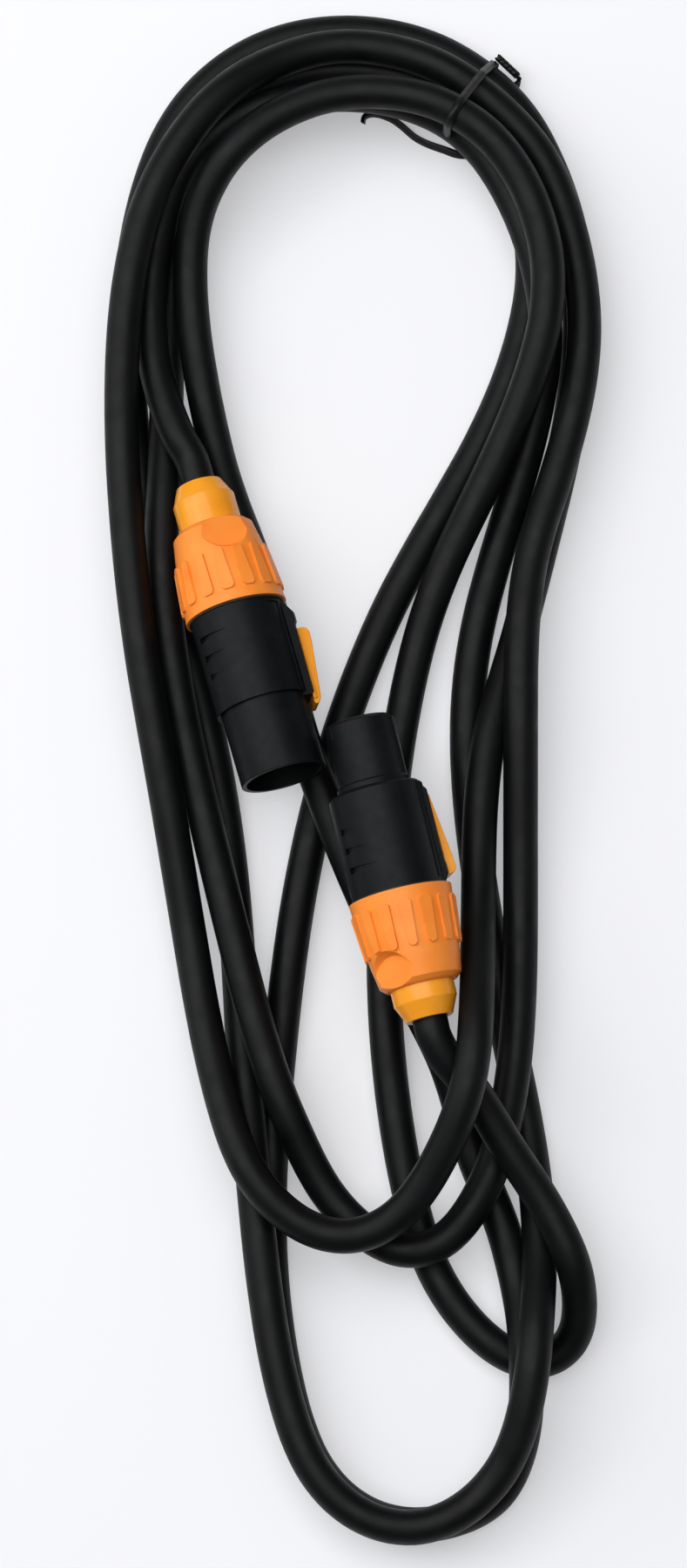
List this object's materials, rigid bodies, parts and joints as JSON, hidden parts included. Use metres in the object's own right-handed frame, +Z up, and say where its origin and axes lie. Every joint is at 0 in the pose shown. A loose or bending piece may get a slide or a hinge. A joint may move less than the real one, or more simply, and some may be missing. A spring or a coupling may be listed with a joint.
{
  "type": "power extension cord",
  "caption": "Hank of black rubber power cord, wound in long loops and tied, with a round locking pin connector and a round locking socket connector.",
  "frame": {"origin": "middle of the hank's outline, on the surface that it lies on", "axes": "+Z up from the surface, +Y along the hank towards its tied end, +X to the side on which both latches point"},
  "size_m": [0.1423, 0.4393, 0.0485],
  "materials": {
    "jacket": "satin",
    "tie": "satin",
    "black_housing": "fine spark-eroded texture",
    "orange_nut": "satin",
    "amber": "glossy",
    "seal_rubber": "matte",
    "insert": "satin",
    "contact_metal": "tin plated",
    "screw_steel": "zinc plated",
    "spring_steel": "drawn wire",
    "line_insulation": "satin",
    "neutral_insulation": "satin",
    "earth_insulation": "satin"
  },
  "bodies": {
    "hank": {"cord": "jacket", "twist_tie": "tie", "inlet_clamp_collar": "amber", "inlet_seal": "seal_rubber", "inlet_face_ring": "seal_rubber", "inlet_housing": "black_housing", "inlet_sleeve": "black_housing", "inlet_contact_block": "insert", "inlet_line_pin": "contact_metal", "inlet_neutral_pin": "contact_metal", "inlet_earth_pin": "contact_metal", "inlet_terminal_screws": "screw_steel", "inlet_line_core": "line_insulation", "inlet_neutral_core": "neutral_insulation", "inlet_earth_core": "earth_insulation", "inlet_latch_spring": "spring_steel", "outlet_clamp_collar": "amber", "outlet_seal": "seal_rubber", "outlet_face_ring": "seal_rubber", "outlet_housing": "black_housing", "outlet_spigot": "black_housing", "outlet_contact_block": "insert", "outlet_line_socket": "contact_metal", "outlet_neutral_socket": "contact_metal", "outlet_earth_socket": "contact_metal", "outlet_terminal_screws": "screw_steel", "outlet_line_core": "line_insulation", "outlet_neutral_core": "neutral_insulation", "outlet_earth_core": "earth_insulation", "outlet_latch_spring": "spring_steel"},
    "inlet_latch": {"inlet_latch": "amber"},
    "outlet_latch": {"outlet_latch": "amber"},
    "inlet_nut": {"inlet_cap_nut": "orange_nut"},
    "outlet_nut": {"outlet_cap_nut": "orange_nut"}
  },
  "joints": [
    {"name": "inlet_latch_slide", "type": "slide", "parent": "hank", "child": "inlet_latch", "axis": [-0.274, 0.9556, -0.108], "range_m": [0, 0.003], "stiffness_N_per_m": 400, "deforming": ["inlet_latch_spring"]},
    {"name": "outlet_latch_slide", "type": "slide", "parent": "hank", "child": "outlet_latch", "axis": [0.2299, -0.9725, 0.0366], "range_m": [0, 0.002], "stiffness_N_per_m": 400, "deforming": ["outlet_latch_spring"]},
    {"name": "inlet_nut_turn", "type": "hinge", "parent": "hank", "child": "inlet_nut", "pos_m": [-0.03637, 0.05215, 0.02241], "axis": [0.274, -0.9556, 0.108], "range_deg": [0, 90]},
    {"name": "outlet_nut_turn", "type": "hinge", "parent": "hank", "child": "outlet_nut", "pos_m": [0.01594, -0.0541, 0.03379], "axis": [-0.2299, 0.9725, -0.0366], "range_deg": [0, 90]}
  ]
}
